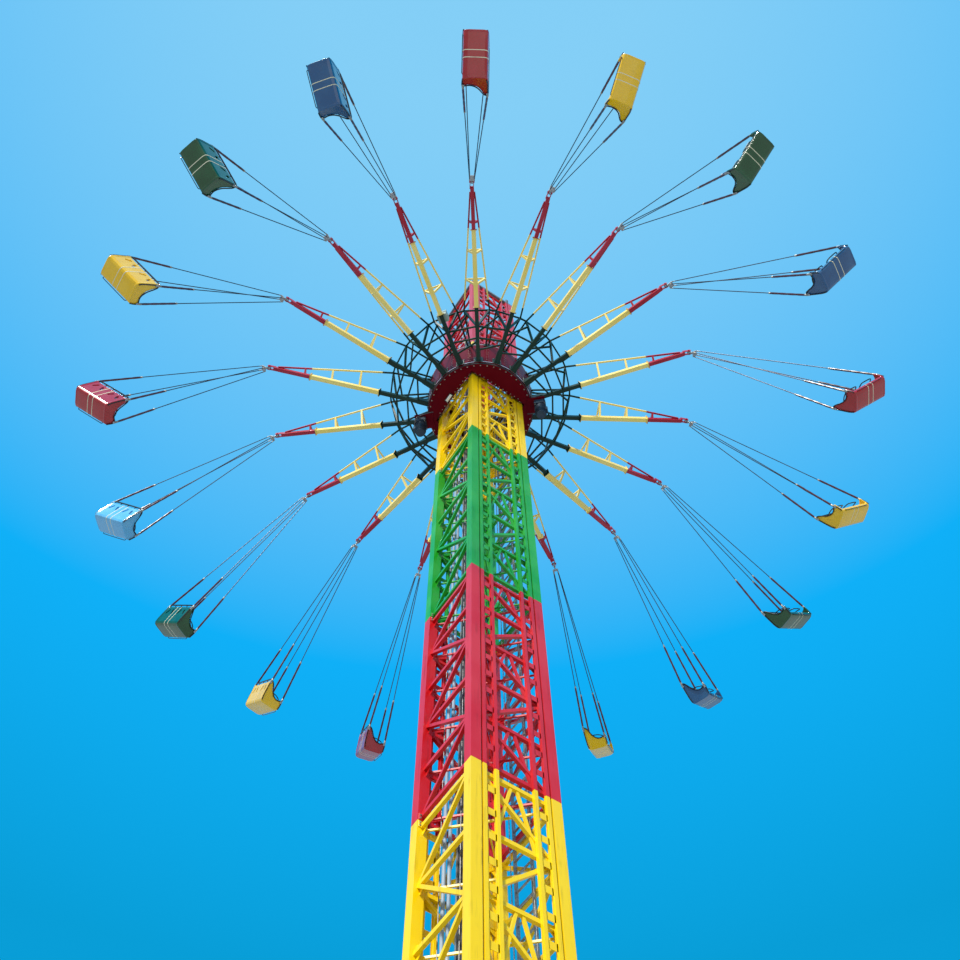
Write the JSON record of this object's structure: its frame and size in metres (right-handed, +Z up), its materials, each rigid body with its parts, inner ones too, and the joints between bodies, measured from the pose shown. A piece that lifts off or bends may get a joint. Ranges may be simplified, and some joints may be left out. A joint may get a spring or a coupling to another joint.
{
  "type": "swing tower ride",
  "caption": "Tall lattice tower with a hoisted carriage, a turning head of radial arms and hanging two-seat gondolas flung outward.",
  "frame": {"origin": "middle of the base frame's underside, on the foundation", "axes": "+Z up along the tower, X and Y square to the tower's faces; the ladder is inside the +X face"},
  "size_m": [19.3296, 19.3514, 39.67],
  "materials": {
    "arm_cream": "gloss",
    "arm_dark_green": "gloss",
    "arm_red": "gloss",
    "base_grey": "satin",
    "bearing_steel": "machined",
    "bracket_grey": "satin",
    "cabinet_grey": "satin",
    "cable_steel": "wire rope",
    "carriage_maroon": "satin",
    "galvanised": "galvanised",
    "gondola_blue": "gelcoat",
    "gondola_green": "gelcoat",
    "gondola_light_blue": "gelcoat",
    "gondola_red": "gelcoat",
    "gondola_yellow": "gelcoat",
    "motor_blue_grey": "satin",
    "rope_steel": "greased",
    "sheave_iron": "satin",
    "tower_green": "gloss",
    "tower_red": "gloss",
    "tower_yellow": "gloss",
    "wheel_polymer": "worn"
  },
  "bodies": {
    "tower": {"base_frame": "base_grey", "tower_base_section": "tower_red", "tower_section_1": "tower_green", "tower_section_2": "tower_yellow", "tower_section_3": "tower_red", "tower_section_4": "tower_green", "tower_section_5": "tower_yellow", "tower_section_6": "tower_red", "head_frame": "base_grey", "rope_sheaves": "sheave_iron", "hoist_ropes": "rope_steel", "tower_ladder": "galvanised"},
    "carriage": {"carriage_frame": "carriage_maroon", "slewing_bearing": "bearing_steel", "drive_motors": "motor_blue_grey", "guide_wheels": "wheel_polymer", "wheel_brackets": "bracket_grey"},
    "rotor": {"rotor_drum": "carriage_maroon", "arm_roots": "arm_dark_green", "arm_middles": "arm_cream", "arm_tips": "arm_red", "arm_hoops": "arm_dark_green", "tip_clevises": "arm_red", "control_cabinet": "cabinet_grey"},
    "gondola_01": {"gondola_01": "gondola_red", "suspension_01": "cable_steel"},
    "gondola_02": {"gondola_02": "gondola_yellow", "suspension_02": "cable_steel"},
    "gondola_03": {"gondola_03": "gondola_green", "suspension_03": "cable_steel"},
    "gondola_04": {"gondola_04": "gondola_blue", "suspension_04": "cable_steel"},
    "gondola_05": {"gondola_05": "gondola_red", "suspension_05": "cable_steel"},
    "gondola_06": {"gondola_06": "gondola_yellow", "suspension_06": "cable_steel"},
    "gondola_07": {"gondola_07": "gondola_green", "suspension_07": "cable_steel"},
    "gondola_08": {"gondola_08": "gondola_blue", "suspension_08": "cable_steel"},
    "gondola_09": {"gondola_09": "gondola_yellow", "suspension_09": "cable_steel"},
    "gondola_10": {"gondola_10": "gondola_green", "suspension_10": "cable_steel"},
    "gondola_11": {"gondola_11": "gondola_red", "suspension_11": "cable_steel"},
    "gondola_12": {"gondola_12": "gondola_yellow", "suspension_12": "cable_steel"},
    "gondola_13": {"gondola_13": "gondola_green", "suspension_13": "cable_steel"},
    "gondola_14": {"gondola_14": "gondola_light_blue", "suspension_14": "cable_steel"},
    "gondola_15": {"gondola_15": "gondola_red", "suspension_15": "cable_steel"},
    "gondola_16": {"gondola_16": "gondola_yellow", "suspension_16": "cable_steel"},
    "gondola_17": {"gondola_17": "gondola_green", "suspension_17": "cable_steel"},
    "gondola_18": {"gondola_18": "gondola_blue", "suspension_18": "cable_steel"}
  },
  "joints": [
    {"name": "carriage_lift", "type": "slide", "parent": "tower", "child": "carriage", "axis": [0, 0, 1], "range_m": [-24.7, 2.5]},
    {"name": "rotor_spin", "type": "hinge", "parent": "carriage", "child": "rotor", "pos_m": [0, 0, 31], "axis": [0, 0, 1], "continuous": true},
    {"name": "swing_01", "type": "hinge", "parent": "rotor", "child": "gondola_01", "pos_m": [-3.37551, -4.64258, 31.69], "axis": [-0.8447, 0.5352, 0], "range_deg": [-38.09, 10]},
    {"name": "swing_02", "type": "hinge", "parent": "rotor", "child": "gondola_02", "pos_m": [-1.58408, -5.51709, 31.69], "axis": [-0.9768, 0.2141, 0], "range_deg": [-38.09, 10]},
    {"name": "swing_03", "type": "hinge", "parent": "rotor", "child": "gondola_03", "pos_m": [0.3984, -5.72616, 31.69], "axis": [-0.9911, -0.1329, 0], "range_deg": [-38.09, 10]},
    {"name": "swing_04", "type": "hinge", "parent": "rotor", "child": "gondola_04", "pos_m": [2.33284, -5.24457, 31.69], "axis": [-0.8859, -0.4639, 0], "range_deg": [-38.09, 10]},
    {"name": "swing_05", "type": "hinge", "parent": "rotor", "child": "gondola_05", "pos_m": [3.9859, -4.1304, 31.69], "axis": [-0.6738, -0.7389, 0], "range_deg": [-38.09, 10]},
    {"name": "swing_06", "type": "hinge", "parent": "rotor", "child": "gondola_06", "pos_m": [5.1582, -2.51805, 31.69], "axis": [-0.3804, -0.9248, 0], "range_deg": [-38.09, 10]},
    {"name": "swing_07", "type": "hinge", "parent": "rotor", "child": "gondola_07", "pos_m": [5.70835, -0.60199, 31.69], "axis": [-0.0412, -0.9992, 0], "range_deg": [-38.09, 10]},
    {"name": "swing_08", "type": "hinge", "parent": "rotor", "child": "gondola_08", "pos_m": [5.56998, 1.38669, 31.69], "axis": [0.303, -0.953, 0], "range_deg": [-38.09, 10]},
    {"name": "swing_09", "type": "hinge", "parent": "rotor", "child": "gondola_09", "pos_m": [4.7598, 3.20811, 31.69], "axis": [0.6107, -0.7919, 0], "range_deg": [-38.09, 10]},
    {"name": "swing_10", "type": "hinge", "parent": "rotor", "child": "gondola_10", "pos_m": [3.37551, 4.64258, 31.69], "axis": [0.8447, -0.5352, 0], "range_deg": [-38.09, 10]},
    {"name": "swing_11", "type": "hinge", "parent": "rotor", "child": "gondola_11", "pos_m": [1.58408, 5.51709, 31.69], "axis": [0.9768, -0.2141, 0], "range_deg": [-38.09, 10]},
    {"name": "swing_12", "type": "hinge", "parent": "rotor", "child": "gondola_12", "pos_m": [-0.3984, 5.72616, 31.69], "axis": [0.9911, 0.1329, 0], "range_deg": [-38.09, 10]},
    {"name": "swing_13", "type": "hinge", "parent": "rotor", "child": "gondola_13", "pos_m": [-2.33284, 5.24457, 31.69], "axis": [0.8859, 0.4639, 0], "range_deg": [-38.09, 10]},
    {"name": "swing_14", "type": "hinge", "parent": "rotor", "child": "gondola_14", "pos_m": [-3.9859, 4.1304, 31.69], "axis": [0.6738, 0.7389, 0], "range_deg": [-38.09, 10]},
    {"name": "swing_15", "type": "hinge", "parent": "rotor", "child": "gondola_15", "pos_m": [-5.1582, 2.51805, 31.69], "axis": [0.3804, 0.9248, 0], "range_deg": [-38.09, 10]},
    {"name": "swing_16", "type": "hinge", "parent": "rotor", "child": "gondola_16", "pos_m": [-5.70835, 0.60199, 31.69], "axis": [0.0412, 0.9992, 0], "range_deg": [-38.09, 10]},
    {"name": "swing_17", "type": "hinge", "parent": "rotor", "child": "gondola_17", "pos_m": [-5.56998, -1.38669, 31.69], "axis": [-0.303, 0.953, 0], "range_deg": [-38.09, 10]},
    {"name": "swing_18", "type": "hinge", "parent": "rotor", "child": "gondola_18", "pos_m": [-4.7598, -3.20811, 31.69], "axis": [-0.6107, 0.7919, 0], "range_deg": [-38.09, 10]}
  ]
}
